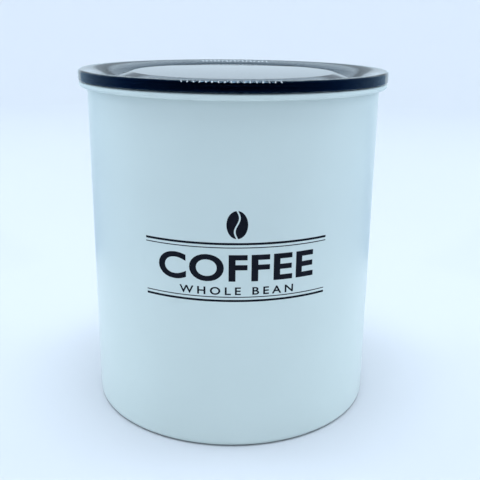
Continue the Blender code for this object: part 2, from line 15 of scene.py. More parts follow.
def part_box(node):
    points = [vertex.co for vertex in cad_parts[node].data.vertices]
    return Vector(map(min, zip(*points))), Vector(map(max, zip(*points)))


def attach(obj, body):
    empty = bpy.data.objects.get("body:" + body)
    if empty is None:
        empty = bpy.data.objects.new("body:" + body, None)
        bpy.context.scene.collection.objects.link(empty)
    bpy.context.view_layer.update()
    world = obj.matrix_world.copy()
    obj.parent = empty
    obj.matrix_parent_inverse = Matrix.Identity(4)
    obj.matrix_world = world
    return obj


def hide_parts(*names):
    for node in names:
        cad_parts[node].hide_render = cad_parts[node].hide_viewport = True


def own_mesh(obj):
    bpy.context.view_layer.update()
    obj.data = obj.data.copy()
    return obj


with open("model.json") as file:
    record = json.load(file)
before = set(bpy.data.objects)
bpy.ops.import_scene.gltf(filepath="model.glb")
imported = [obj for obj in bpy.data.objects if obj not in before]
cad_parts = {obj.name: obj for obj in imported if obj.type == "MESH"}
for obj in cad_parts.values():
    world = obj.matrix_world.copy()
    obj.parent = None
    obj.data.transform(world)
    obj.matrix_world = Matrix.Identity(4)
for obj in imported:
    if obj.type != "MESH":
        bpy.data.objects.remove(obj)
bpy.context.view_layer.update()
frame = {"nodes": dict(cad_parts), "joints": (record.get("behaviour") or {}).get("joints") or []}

# ---------------------------------------------------------------- sizes, in metres, read from the frame
WALL_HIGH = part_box("can_wall")[1]
LID_LOW, LID_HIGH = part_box("outer_lid")
SEAL_LOW, SEAL_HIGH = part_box("lid_gasket")
DECK_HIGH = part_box("plunger_deck")[1]
WIPER_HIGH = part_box("plunger_gasket")[1]
HOUSING_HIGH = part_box("valve_housing")[1]
SPRING_LOW, SPRING_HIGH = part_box("valve_spring")
TOTAL_HEIGHT = LID_HIGH.z
LID_RADIUS = LID_HIGH.x
RIM_RADIUS = WALL_HIGH.x
CURL_TOP = WALL_HIGH.z

# Sheet-metal can
CAN_RADIUS = 0.0859
SHEET = 0.0008
CAN_BORE = CAN_RADIUS - SHEET
CURL_HEIGHT = 0.0036
CURL_END_ANGLE = -115
BEAD_FULLNESS = 0.70
FOOT_CORNER = 0.0030
FOOT_INNER_RADIUS = 0.0795

# Outer lid
LID_SHEET = 0.0022
PLATEAU_TOP = TOTAL_HEIGHT - 0.0016
PLATEAU_RADIUS = 0.0595
PLATEAU_EDGE_RUN = 0.0015
PLATEAU_EDGE_DROP = 0.0004
CONE_SLOPE = 0.30
CONE_OUTER_RADIUS = 0.0718
TROUGH_INNER_RADIUS = 0.0724
TROUGH_OUTER_RADIUS = 0.0738
TROUGH_BOTTOM = 0.1973
RING_INNER_RADIUS = 0.0777
RING_CURVE = 0.0250
CREST_ROUNDING = 0.0016
CREST_RADIUS = LID_RADIUS - CREST_ROUNDING
LIP_BOTTOM = 0.1972
LIP_ROUNDING = 0.0005
LIP_INNER_RADIUS = 0.0894
SEAT_HEIGHT = 0.1982
SKIRT_RADIUS = 0.0836
SKIRT_WALL = 0.0020
CORE_OUTER_RADIUS = 0.0888
CORE_TOP = 0.2007
CORE_HEAD_RADIUS = 0.0858
CORE_FOOT_RADIUS = 0.0850
SHOULDER_TOP = 0.1994
SHOULDER_INNER_RADIUS = 0.0793
SHOULDER_INNER_HEIGHT = 0.1984
UNDERSIDE_BEND_RADIUS = 0.0752

# Seal between the lid's skirt and the can: a flange at the top, and a sleeve with a small nick above its foot
SEAL_SHEET = 0.0007
SEAL_BORE_GAP = 0.0007
SEAL_NICK_TOP = 0.0012
SEAL_NICK_BOTTOM = 0.0008
SEAL_NICK_REACH = 0.0004

# Moulded pips on the lid's edge and ring, in a short row in front and another behind
PIP_COUNT = 17
PIP_SLANT = math.radians(35)
PIP_SPREAD = math.radians(15.5)
PIP_LENGTH = 0.0006
PIP_WIDTH = 0.0003
PIP_HEIGHT = 0.00018
RING_PIP_SCALE = 1.8
EDGE_PIP_ANGLE = math.radians(38)
RING_PIP_RADIUS = 0.0830

# Plunger and its valve: heights are above or below the top of the deck.
# The deck's box ends at its lugs, 0.3 mm over its wall, so DECK_TOP is 0.3 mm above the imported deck's top.
DECK_RADIUS = DECK_HIGH.x
DECK_SHEET = 0.0025
DECK_WALL = 0.0020
DECK_WALL_HEIGHT = 0.0140
DECK_TOP = DECK_HIGH.z - DECK_WALL_HEIGHT
PORT_RADIUS = 0.0090
VALVE_SEAT_HEIGHT = 0.0010
VALVE_SEAT_WIDTH = 0.0020
COLLAR_INSIDE = 0.0140
COLLAR_OUTSIDE = 0.0160
COLLAR_DEPTH = 0.0030
RIB_RADII = (0.0310, 0.0670)
RIB_HALF_WIDTH = 0.0010
RIB_SLOPE = 0.0004
RIB_HEIGHT = 0.0005
GASKET_CORE_TOP = -0.0028
GASKET_CORE_HEIGHT = 0.0030
GASKET_LIP_REACH = 0.0025
GASKET_LIP_SHEET = 0.0006
GASKET_CORE_REACH = 0.0014
GASKET_ROOT_REACH = 0.0006
CLAMP_SPIGOT_RADIUS = 0.0766
CLAMP_INNER_RADIUS = 0.0700
CLAMP_SHEET = 0.0022
HOUSING_WALL = 0.0018
HOUSING_ROOF = 0.0020
HOUSING_TOP = HOUSING_HIGH.z - DECK_TOP
HOUSING_CEILING = HOUSING_TOP - HOUSING_ROOF
HOUSING_DOME = 0.0060
HANDLE_AXIS = next(joint["pos_m"][2] for joint in frame["joints"] if joint["name"] == "handle_fold")
SHAFT_RADIUS = 0.0020
SHAFT_SLOT_GAP = 0.0007
LUG_INNER_X = 0.0260
LUG_THICKNESS = 0.0040
LUG_HALF_WIDTH = 0.0055
BAIL_HALF_SPAN = 0.0400
BAIL_ARM = 0.0140
BAIL_BOW = 0.0280
BAIL_TUBE_RADIUS = 0.0040
HUB_RADIUS = 0.0055
HUB_HALF_LENGTH = 0.0040
SHAFT_HALF_LENGTH = 0.0417
FIT_GAP = 0.0003
REST_PAD_RADIUS = 0.0035
REST_PAD_ANGLE = math.radians(60)
SPRING_WIRE_RADIUS = 0.00045
SPRING_TURNS = 4
SPRING_TURN_STEPS = 24

# Print: heights on the wall, and widths along its curve
PRINT_TURN = math.radians(2.3)
PRINT_WIDTH = 0.102
PRINT_THICKNESS = 0.00006
PRINT_SINK = 0.00003
PRINT_STEP = 0.0020
TOP_RULE = 0.1200
BOTTOM_RULE = 0.0885
RULE_GAP = 0.0021
THICK_RULE = 0.0012
THIN_RULE = 0.0005
WORD_BOTTOM = 0.0992
WORD_TOP = 0.1142
WORD_WIDTH = 0.086
WORD_WEIGHT = 0.028
WORD_SPACING = 1.08
LINE_BOTTOM = 0.0918
LINE_TOP = 0.0962
LINE_WIDTH = 0.062
LINE_WEIGHT = 0.020
LINE_SPACING = 1.5
BEAN_CENTRE = 0.1302
BEAN_HEIGHT = 0.0150
BEAN_WIDTH = 0.0112
BEAN_SPLIT_LENGTH = 0.98 * BEAN_HEIGHT
BEAN_SPLIT_HALF_WIDTH = 0.00045
BEAN_SPLIT_WAVE = 0.0013

FINE_STEPS = 256
INNER_STEPS = 160
COVER_STEPS = 96
STAGE_STEPS = 96
SHARP_ANGLE = math.radians(40)

# Camera: where it stands from the can's axis, and how it is turned
CAMERA_DISTANCE = 0.4447
CAMERA_HEIGHT = 0.2327
CAMERA_SIDE = 0.0049
CAMERA_PITCH = math.radians(17.10)
CAMERA_ROLL = math.radians(0.594)
CAMERA_LENS = 54.64
SENSOR_WIDTH = 36.0

# Backdrop: a flat floor that bends up into a wall
SWEEP_COLOUR = (0.980, 0.972, 1.0)
# Painted light: the backdrop's tone is graded from the floor's darker tone to the wall's lighter one.
FLOOR_TONE = 0.59
WALL_PAINTED_LIGHT_TONE = 0.755
FLOOR_RADIUS = 1.6
FLOOR_DROP = 0.00002
WALL_BEND = 1.2
WALL_TOP = 2.6
PAINTED_LIGHT_START = 0.5

# Light: the sky's strength rises from front to back, and its level changes with height above the horizon
SKY_COLOUR = (0.72, 0.87, 1.0)
SKY_FRONT = 0.9
SKY_BACK = 2.1
LOWEST_SKY = -0.25
SKY_LEVELS = [
    (-0.24, 0.0),
    (-0.20, 0.52),
    (0.14, 0.50),
    (0.19, 0.30),
    (0.30, 0.30),
    (0.38, 0.75),
    (0.62, 1.0),
    (1.0, 0.70),
]
LAMP_COLOUR = (0.76, 0.89, 1.0)
LAMP_POWER = 66
LAMP_SIZE = 1.8
LAMP_HEIGHT = 3.0
LAMP_FORWARD = 0.4
SIDE_POWER = 5
SIDE_SIZE = 0.8
SIDE_OUT = 1.3
SIDE_BACK = 0.3
SIDE_HEIGHT = 0.9
SIDE_AIM = 0.1

# Panels in front: a dark flag that only the gloss shows, and a grey one that only soft light meets
FLAG_RADIUS = 1.5
FLAG_TOP = 60
FLAG_FOOT_RADIUS = 0.3
FLAG_FOOT_HEIGHT = 0.001
FLAG_HALF_ANGLE = math.radians(142)
FLAG_AHEAD = (0.010, 0.018, 0.045)
FLAG_BESIDE = (0.040, 0.13, 0.40)
FLAG_BEHIND = (0.34, 0.52, 0.72)
FILL_TOP = 30
FILL_HALF_ANGLE = math.radians(45)


# ---------------------------------------------------------------- mesh helpers
def link(obj):
    bpy.context.scene.collection.objects.link(obj)
    return obj


def shade(obj, sharp=SHARP_ANGLE):
    obj.data.shade_smooth()
    obj.data.set_sharp_from_angle(angle=sharp)
    return obj


def arc(centre_r, centre_z, radius_r, radius_z, start, end, steps):
    """Points along an ellipse's arc, from start to end in degrees."""
    points = []
    for step in range(steps + 1):
        angle = math.radians(start + (end - start) * step / steps)
        points.append((centre_r + radius_r * math.cos(angle), centre_z + radius_z * math.sin(angle)))
    return points


def squared_arc(centre_r, centre_z, radius_r, radius_z, start, end, steps):
    """As arc, but the oval is fuller at its shoulders."""
    points = []
    for r, z in arc(0, 0, 1, 1, start, end, steps):
        full_r = math.copysign(abs(r) ** BEAD_FULLNESS, r)
        full_z = math.copysign(abs(z) ** BEAD_FULLNESS, z)
        points.append((centre_r + radius_r * full_r, centre_z + radius_z * full_z))
    return points


def filleted(corners, steps=5):
    """An open outline from corners given as (r, z, fillet radius), with an arc at each filleted corner."""
    points = []
    last = len(corners) - 1
    for index, (r, z, radius) in enumerate(corners):
        if radius == 0 or index in (0, last):
            points.append((r, z))
            continue
        here = Vector((r, z))
        back = (Vector(corners[index - 1][:2]) - here).normalized()
        on = (Vector(corners[index + 1][:2]) - here).normalized()
        half = back.angle(on) / 2
        start = here + back * (radius / math.tan(half))
        end = here + on * (radius / math.tan(half))
        centre = here + (back + on).normalized() * (radius / math.sin(half))
        for step in range(steps + 1):
            spoke = (start - centre).lerp(end - centre, step / steps).normalized() * radius
            points.append(tuple(centre + spoke))
    return points


def lathe(name, profile, closed, steps):
    """Turns an (r, z) outline round Z. Points on the axis become one pole each."""
    mesh = bmesh.new()
    rings = []
    for r, z in profile:
        if r < 1e-6:
            rings.append([mesh.verts.new((0, 0, z))] * steps)
            continue
        ring = []
        for step in range(steps):
            turn = 2 * math.pi * step / steps
            ring.append(mesh.verts.new((r * math.cos(turn), r * math.sin(turn), z)))
        rings.append(ring)
    pairs = list(zip(rings, rings[1:]))
    if closed:
        pairs.append((rings[-1], rings[0]))
    for upper, lower in pairs:
        for step in range(steps):
            after = (step + 1) % steps
            corners = [upper[step], lower[step], lower[after], upper[after]]
            mesh.faces.new(list(dict.fromkeys(corners)))
    bmesh.ops.recalc_face_normals(mesh, faces=mesh.faces)
    data = bpy.data.meshes.new(name)
    mesh.to_mesh(data)
    mesh.free()
    return shade(link(bpy.data.objects.new(name, data)))


def baked(obj):
    """The object as a plain mesh object of the same name, with its modifiers or curve settings worked in."""
    bpy.context.view_layer.update()
    graph = bpy.context.evaluated_depsgraph_get()
    data = bpy.data.meshes.new_from_object(obj.evaluated_get(graph))
    data.transform(obj.matrix_world)
    name = obj.name
    bpy.data.objects.remove(obj)
    data.name = name
    return link(bpy.data.objects.new(name, data))


def welded(obj, distance=1e-6):
    """The object with its doubled points joined and its faces turned outwards."""
    mesh = bmesh.new()
    mesh.from_mesh(obj.data)
    bmesh.ops.remove_doubles(mesh, verts=mesh.verts, dist=distance)
    bmesh.ops.recalc_face_normals(mesh, faces=mesh.faces)
    mesh.to_mesh(obj.data)
    mesh.free()
    return obj


def combined(target, others, operation):
    """The target with the others added to it or cut from it. The others are used up."""
    for other in others:
        modifier = target.modifiers.new(other.name, "BOOLEAN")
        modifier.operation = operation
        modifier.object = other
        modifier.solver = "EXACT"
    target = baked(target)
    for other in others:
        bpy.data.objects.remove(other)
    return shade(target)


def bevelled(obj, width, segments=3):
    modifier = obj.modifiers.new("edges", "BEVEL")
    modifier.width = width
    modifier.segments = segments
    modifier.limit_method = "ANGLE"
    modifier.angle_limit = math.radians(30)
    return obj


def plate(name, outlines, half_thickness):
    """A flat outline, with any holes, given thickness either side of its plane."""
    curve = bpy.data.curves.new(name, "CURVE")
    curve.dimensions = "2D"
    curve.fill_mode = "BOTH"
    curve.extrude = half_thickness
    for outline in outlines:
        spline = curve.splines.new("POLY")
        spline.points.add(len(outline) - 1)
        for point, (x, y) in zip(spline.points, outline):
            point.co = (x, y, 0, 1)
        spline.use_cyclic_u = True
    return welded(baked(link(bpy.data.objects.new(name, curve))))


def rod(name, radius, length, steps=48):
    return plate(name, [arc(0, 0, radius, radius, 0, 360 - 360 / steps, steps - 1)], length / 2)


def along_x(obj, place):
    """Turns a plate drawn in Y and Z so that its thickness lies along X, and puts it in place."""
    obj.data.transform(Matrix(((0, 0, 1), (1, 0, 0), (0, 1, 0))).to_4x4())
    obj.data.transform(Matrix.Translation(place))
    return obj


def moved(obj, place):
    obj.data.transform(Matrix.Translation(place))
    return obj


# ---------------------------------------------------------------- node helpers
def new_material(name):
    material = bpy.data.materials.new(name)
    material.use_nodes = True
    return material, material.node_tree, material.node_tree.nodes["Principled BSDF"]


def coordinates(tree, scale=(1, 1, 1)):
    source = tree.nodes.new("ShaderNodeTexCoord")
    mapping = tree.nodes.new("ShaderNodeMapping")
    mapping.inputs["Scale"].default_value = scale
    tree.links.new(source.outputs["Object"], mapping.inputs["Vector"])
    return mapping.outputs["Vector"]


def noise(tree, scale, detail=3, stretch=(1, 1, 1), roughness=0.5):
    """Noise of about 1/scale metres a feature, stretched by axis."""
    node = tree.nodes.new("ShaderNodeTexNoise")
    node.inputs["Scale"].default_value = scale
    node.inputs["Detail"].default_value = detail
    node.inputs["Roughness"].default_value = roughness
    tree.links.new(coordinates(tree, stretch), node.inputs["Vector"])
    return node.outputs["Fac"]


def spread(tree, value, low, high, start=0.3, end=0.7):
    """value, from start to end, mapped to low to high."""
    node = tree.nodes.new("ShaderNodeMapRange")
    node.inputs["From Min"].default_value = start
    node.inputs["From Max"].default_value = end
    node.inputs["To Min"].default_value = low
    node.inputs["To Max"].default_value = high
    tree.links.new(value, node.inputs["Value"])
    return node.outputs["Result"]


def tinted(tree, value, dark, light):
    """A colour between dark and light as value goes from 0 to 1."""
    node = tree.nodes.new("ShaderNodeMix")
    node.data_type = "RGBA"
    node.inputs["A"].default_value = (*dark, 1)
    node.inputs["B"].default_value = (*light, 1)
    tree.links.new(value, node.inputs["Factor"])
    return node.outputs["Result"]


def bumped(tree, shader, height, distance, strength, before=None):
    """Raises the surface by height times distance, on top of the bump before it, if there is one."""
    node = tree.nodes.new("ShaderNodeBump")
    node.inputs["Strength"].default_value = strength
    node.inputs["Distance"].default_value = distance
    tree.links.new(height, node.inputs["Height"])
    if before is not None:
        tree.links.new(before, node.inputs["Normal"])
    tree.links.new(node.outputs["Normal"], shader.inputs["Normal"])
    return node.outputs["Normal"]


def scaled(colour, factor):
    return tuple(channel * factor for channel in colour)


# ---------------------------------------------------------------- materials
def powder_coat():
    """Satin powder coat: a fine orange peel, and a very slight change of tone over the wall."""
    material, tree, shader = new_material("powder_coat")
    colour = (0.715, 0.800, 0.765)
    cloud = spread(tree, noise(tree, 22, 4), 0, 1)
    graded = tinted(tree, cloud, scaled(colour, 0.985), scaled(colour, 1.012))
    tree.links.new(graded, shader.inputs["Base Color"])
    tree.links.new(spread(tree, noise(tree, 160, 3), 0.28, 0.34), shader.inputs["Roughness"])
    shader.inputs["IOR"].default_value = 1.5
    peel = bumped(tree, shader, noise(tree, 620, 2), 0.00003, 0.5)
    bumped(tree, shader, noise(tree, 2600, 2), 0.000008, 0.5, peel)
    return material


def brushed_steel(name, tone, stretch, roughness=(0.22, 0.36)):
    """Bare stainless steel, brushed along the axes that stretch leaves small."""
    material, tree, shader = new_material(name)
    streaks = noise(tree, 420, 4, stretch, 0.7)
    colour = (tone, tone, tone * 1.01)
    graded = tinted(tree, spread(tree, streaks, 0, 1), scaled(colour, 0.95), colour)
    tree.links.new(graded, shader.inputs["Base Color"])
    tree.links.new(spread(tree, streaks, *roughness), shader.inputs["Roughness"])
    shader.inputs["Metallic"].default_value = 1.0
    bumped(tree, shader, streaks, 0.000004, 0.2)
    return material


def smoke_plastic():
    """Smoke-tinted clear plastic, darker with depth, with faint handling marks in its shine."""
    material, tree, shader = new_material("smoke_plastic")
    smear = noise(tree, 38, 5, (1, 1, 0.4), 0.6)
    tree.links.new(spread(tree, smear, 0.004, 0.05, 0.48, 0.8), shader.inputs["Roughness"])
    bumped(tree, shader, noise(tree, 28, 1), 0.00002, 0.3)
    shader.inputs["Base Color"].default_value = (0.92, 0.94, 0.96, 1)
    shader.inputs["IOR"].default_value = 1.57
    shader.inputs["Specular Tint"].default_value = (0.45, 0.75, 1.0, 1)
    shader.inputs["Transmission Weight"].default_value = 1.0
    depth = tree.nodes.new("ShaderNodeVolumeAbsorption")
    depth.inputs["Color"].default_value = (0.15, 0.28, 0.42, 1)
    depth.inputs["Density"].default_value = 1500
    tree.links.new(depth.outputs["Volume"], tree.nodes["Material Output"].inputs["Volume"])
    return material


def pip_painted_glint():
    """The lid's moulded pips, small and polished, which catch the light; their pale grey to white colour is a
    painted highlight standing in for those glints on the smoke plastic.
    """
    material, tree, shader = new_material("pip_painted_glint")
    cloud = spread(tree, noise(tree, 500, 2), 0, 1)
    # Painted highlight: this pale tone stands in for the glints of light on the pips.
    graded = tinted(tree, cloud, (0.55, 0.60, 0.64), (0.85, 0.88, 0.92))
    tree.links.new(graded, shader.inputs["Base Color"])
    tree.links.new(spread(tree, noise(tree, 900, 2), 0.08, 0.2), shader.inputs["Roughness"])
    shader.inputs["IOR"].default_value = 1.57
    shader.inputs["Coat Weight"].default_value = 1.0
    shader.inputs["Coat Roughness"].default_value = 0.05
    return material


def rubber(name, dark, light, roughness=(0.42, 0.6), see_through=0.0):
    """Soft moulded seal, a little blotchy, with a fine bloom."""
    material, tree, shader = new_material(name)
    cloud = spread(tree, noise(tree, 90, 3), 0, 1)
    tree.links.new(tinted(tree, cloud, dark, light), shader.inputs["Base Color"])
    tree.links.new(spread(tree, noise(tree, 300, 3), *roughness), shader.inputs["Roughness"])
    shader.inputs["IOR"].default_value = 1.41
    shader.inputs["Subsurface Weight"].default_value = see_through
    shader.inputs["Subsurface Radius"].default_value = (0.002, 0.002, 0.002)
    bumped(tree, shader, noise(tree, 900, 2), 0.00002, 0.4)
    return material


def moulded_plastic(name, colour, roughness=(0.36, 0.5), grain=1500):
    """Moulded plastic with a spark-eroded grain and a tone that varies a little from place to place."""
    material, tree, shader = new_material(name)
    cloud = spread(tree, noise(tree, 60, 4), 0, 1)
    graded = tinted(tree, cloud, scaled(colour, 0.88), scaled(colour, 1.1))
    tree.links.new(graded, shader.inputs["Base Color"])
    tree.links.new(spread(tree, noise(tree, 220, 4), *roughness), shader.inputs["Roughness"])
    shader.inputs["IOR"].default_value = 1.5
    bumped(tree, shader, noise(tree, grain, 3), 0.00003, 0.5)
    return material


def print_ink():
    """Flat navy-black screen ink, a little thin in places."""
    material, tree, shader = new_material("print_ink")
    cloud = spread(tree, noise(tree, 400, 3), 0, 1)
    graded = tinted(tree, cloud, (0.004, 0.005, 0.010), (0.007, 0.008, 0.016))
    tree.links.new(graded, shader.inputs["Base Color"])
    tree.links.new(spread(tree, noise(tree, 700, 3), 0.5, 0.62), shader.inputs["Roughness"])
    shader.inputs["Specular IOR Level"].default_value = 0.18
    bumped(tree, shader, noise(tree, 620, 2), 0.00002, 0.4)
    return material


def paint(obj, *materials):
    obj.data.materials.clear()
    for material in materials:
        obj.data.materials.append(material)
    return obj


def stand_in(obj, body, slot, material, *nodes):
    """Gives a new piece its body and material, and hides the nodes that it replaces. slot is not used."""
    if material is not None:
        paint(obj, material)
    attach(obj, body)
    if nodes:
        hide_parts(*nodes)
    return obj


# ---------------------------------------------------------------- can
def can_profile():
    """The wall's closed outline: the rolled bead of the rim, and the foot's turned-in edge."""
    centre_r = (CAN_BORE + RIM_RADIUS) / 2
    centre_z = CURL_TOP - CURL_HEIGHT / 2
    half_width = (RIM_RADIUS - CAN_BORE) / 2
    half_height = CURL_HEIGHT / 2
    corner_r = CAN_RADIUS - FOOT_CORNER
    inner_corner = FOOT_CORNER - SHEET
    outer_curl = squared_arc(centre_r, centre_z, half_width, half_height, 180, CURL_END_ANGLE, 40)
    inner_size = (half_width - SHEET, half_height - SHEET)
    inner_curl = squared_arc(centre_r, centre_z, *inner_size, CURL_END_ANGLE, 180, 24)
    outer_foot = arc(corner_r, FOOT_CORNER, FOOT_CORNER, FOOT_CORNER, 0, -90, 8)
    foot_edge = [(FOOT_INNER_RADIUS, 0.0), (FOOT_INNER_RADIUS, SHEET)]
    inner_foot = arc(corner_r, FOOT_CORNER, inner_corner, inner_corner, -90, 0, 5)
    return outer_curl + inner_curl + outer_foot + foot_edge + inner_foot


def make_can(coat, steel):
    """The wall, coated outside and over the rim, and bare inside."""
    shell = lathe("can_shell", can_profile(), True, FINE_STEPS)
    paint(shell, coat, steel)
    for face in shell.data.polygons:
        centre = Vector((face.center.x, face.center.y))
        inward = Vector((face.normal.x, face.normal.y)).dot(centre) < 0
        face.material_index = 1 if inward and centre.length < CAN_RADIUS - SHEET / 2 else 0
    return stand_in(shell, "can", "coated_steel", None, "can_wall")


# ---------------------------------------------------------------- lid
def lid_top():
    """Outline from the middle of the lid out to the lip: flat, cone, trough, rounded ring, crest, edge."""
    edge_radius = PLATEAU_RADIUS + PLATEAU_EDGE_RUN
    edge_height = PLATEAU_TOP - PLATEAU_EDGE_DROP
    cone_bottom = edge_height - (CONE_OUTER_RADIUS - edge_radius) * CONE_SLOPE
    sweep = math.degrees(math.asin((CREST_RADIUS - RING_INNER_RADIUS) / RING_CURVE))
    ring = arc(CREST_RADIUS, TOTAL_HEIGHT - RING_CURVE, RING_CURVE, RING_CURVE, 90 + sweep, 90, 20)
    edge = arc(CREST_RADIUS, TOTAL_HEIGHT - CREST_ROUNDING, CREST_ROUNDING, CREST_ROUNDING, 90, 0, 12)
    lip = arc(LID_RADIUS - LIP_ROUNDING, LIP_BOTTOM + LIP_ROUNDING, LIP_ROUNDING, LIP_ROUNDING, 0, -90, 8)
    inside = filleted([
        (0.0, PLATEAU_TOP, 0),
        (PLATEAU_RADIUS, PLATEAU_TOP, 0.003),
        (edge_radius, edge_height, 0.003),
        (CONE_OUTER_RADIUS, cone_bottom, 0.0008),
        (TROUGH_INNER_RADIUS, TROUGH_BOTTOM, 0.0008),
        (TROUGH_OUTER_RADIUS, TROUGH_BOTTOM, 0.0010),
        (*ring[0], 0.0080),
        (*ring[4], 0),
    ])
    return inside + ring[5:] + edge[1:] + lip


def lid_profile():
    """The lid's top, then its underside from the lip in to the axis: seat, core groove, skirt, shoulder."""
    skirt_inside = SKIRT_RADIUS - SKIRT_WALL
    underside = filleted([
        (LIP_INNER_RADIUS, LIP_BOTTOM, 0),
        (LIP_INNER_RADIUS, SEAT_HEIGHT, 0.0002),
        (CORE_OUTER_RADIUS, SEAT_HEIGHT, 0.0002),
        (CORE_OUTER_RADIUS, CORE_TOP, 0.0002),
        (CORE_HEAD_RADIUS, CORE_TOP, 0.0002),
        (CORE_FOOT_RADIUS, SEAT_HEIGHT, 0.0002),
        (SKIRT_RADIUS, SEAT_HEIGHT, 0.0004),
        (SKIRT_RADIUS, LID_LOW.z, 0.0005),
        (skirt_inside, LID_LOW.z, 0.0005),
        (skirt_inside, SHOULDER_TOP, 0.0004),
        (SHOULDER_INNER_RADIUS, SHOULDER_INNER_HEIGHT, 0.0004),
        (UNDERSIDE_BEND_RADIUS, TROUGH_BOTTOM - LID_SHEET, 0.0006),
        (TROUGH_INNER_RADIUS, TROUGH_BOTTOM - LID_SHEET, 0.0006),
        (PLATEAU_RADIUS, PLATEAU_TOP - LID_SHEET, 0.003),
        (0.0, PLATEAU_TOP - LID_SHEET, 0),
    ])
    return lid_top() + underside


def lid_pips():
    """Two rows of small slanted pips: one over the front edge of the crest, one on the ring behind."""
    mesh = bmesh.new()
    edge_r = CREST_RADIUS + CREST_ROUNDING * math.cos(EDGE_PIP_ANGLE)
    edge_z = TOTAL_HEIGHT - CREST_ROUNDING * (1 - math.sin(EDGE_PIP_ANGLE))
    ring_lean = math.asin((CREST_RADIUS - RING_PIP_RADIUS) / RING_CURVE)
    ring_z = TOTAL_HEIGHT - RING_CURVE * (1 - math.cos(ring_lean))
    rows = [(-math.pi / 2, edge_r, edge_z, math.pi / 2 - EDGE_PIP_ANGLE, 1)]
    rows.append((math.pi / 2, RING_PIP_RADIUS, ring_z, -ring_lean, RING_PIP_SCALE))
    for middle, radius, height, lean, scale in rows:
        for index in range(PIP_COUNT):
            turn = middle + PIP_SPREAD * (2 * index / (PIP_COUNT - 1) - 1)
            slant = PIP_SLANT * (-1) ** index
            place = Matrix.Rotation(turn, 4, "Z") @ Matrix.Translation((radius, 0, height))
            place = place @ Matrix.Rotation(lean, 4, "Y") @ Matrix.Rotation(slant, 4, "Z")
            size = Matrix.Diagonal((PIP_LENGTH * scale, PIP_WIDTH * scale, PIP_HEIGHT * scale, 1))
            bmesh.ops.create_icosphere(mesh, subdivisions=2, radius=1, matrix=place @ size)
    data = bpy.data.meshes.new("lid_pips")
    mesh.to_mesh(data)
    mesh.free()
    return shade(link(bpy.data.objects.new("lid_pips", data)))


def make_lid(plastic, seal_rubber, pip_painted_glint):
    lid = lathe("lid_shell", lid_profile(), False, FINE_STEPS)
    stand_in(lid, "lid", "smoke_plastic", plastic, "outer_lid")
    stand_in(lid_pips(), "lid", "smoke_plastic", pip_painted_glint)
    top = SEAT_HEIGHT - FIT_GAP
    sleeve = CAN_BORE - SEAL_BORE_GAP
    inside = SKIRT_RADIUS + FIT_GAP
    flange_bottom = top - SEAL_SHEET
    foot = SEAL_LOW.z
    outline = filleted([
        (inside, top, 0),
        (SEAL_HIGH.x, top, 0.0002),
        (SEAL_HIGH.x, flange_bottom, 0.0002),
        (sleeve, flange_bottom, 0.0001),
        (sleeve, foot + SEAL_NICK_TOP, 0.0001),
        (sleeve + SEAL_NICK_REACH, foot + SEAL_NICK_BOTTOM, 0.0001),
        (sleeve, foot, 0.0001),
        (inside, foot, 0),
    ], 3)
    seal = lathe("lid_seal_ring", outline, True, FINE_STEPS)
    stand_in(seal, "lid", "lid_seal", seal_rubber, "lid_gasket")


# ---------------------------------------------------------------- print, drawn flat and wrapped on the wall
def lettering(text, width, low, high, weight, spacing):
    """Capitals stretched to a width and a height, centred at u = 0. weight swells the strokes."""
    curve = bpy.data.curves.new("lettering", "FONT")
    curve.body = text
    curve.align_x = "CENTER"
    curve.space_character = spacing
    curve.offset = weight
    curve.extrude = 0.5
    curve.resolution_u = 6
    word = baked(link(bpy.data.objects.new("lettering", curve)))
    xs = [vertex.co.x for vertex in word.data.vertices]
    ys = [vertex.co.y for vertex in word.data.vertices]
    across = width / (max(xs) - min(xs))
    up = (high - low) / (max(ys) - min(ys))
    centre = (max(xs) + min(xs)) / 2
    for vertex in word.data.vertices:
        x, y, z = vertex.co
        vertex.co = ((x - centre) * across, low + (y - min(ys)) * up, (z + 0.5) * PRINT_THICKNESS)
    return welded(word)


def rule(centre_v, thickness):
    half = PRINT_WIDTH / 2
    low, high = centre_v - thickness / 2, centre_v + thickness / 2
    bar = plate("rule", [[(-half, low), (half, low), (half, high), (-half, high)]], PRINT_THICKNESS / 2)
    return moved(bar, (0, 0, PRINT_THICKNESS / 2))


def bean():
    """A coffee bean: an ellipse in two halves, either side of a wavy split."""
    halves = []
    for side in (-1, 1):
        edge = arc(0, BEAN_CENTRE, side * BEAN_WIDTH / 2, BEAN_HEIGHT / 2, 84, -84, 28)
        split = []
        for step in range(17):
            share = step / 16
            v = BEAN_CENTRE + BEAN_SPLIT_LENGTH * (share - 0.5)
            wave = BEAN_SPLIT_WAVE * math.sin(2 * math.pi * share)
            split.append((side * BEAN_SPLIT_HALF_WIDTH - wave, v))
        halves.append(edge + split)
    glyph = [plate("bean_half", [half], PRINT_THICKNESS / 2) for half in halves]
    return [moved(half, (0, 0, PRINT_THICKNESS / 2)) for half in glyph]


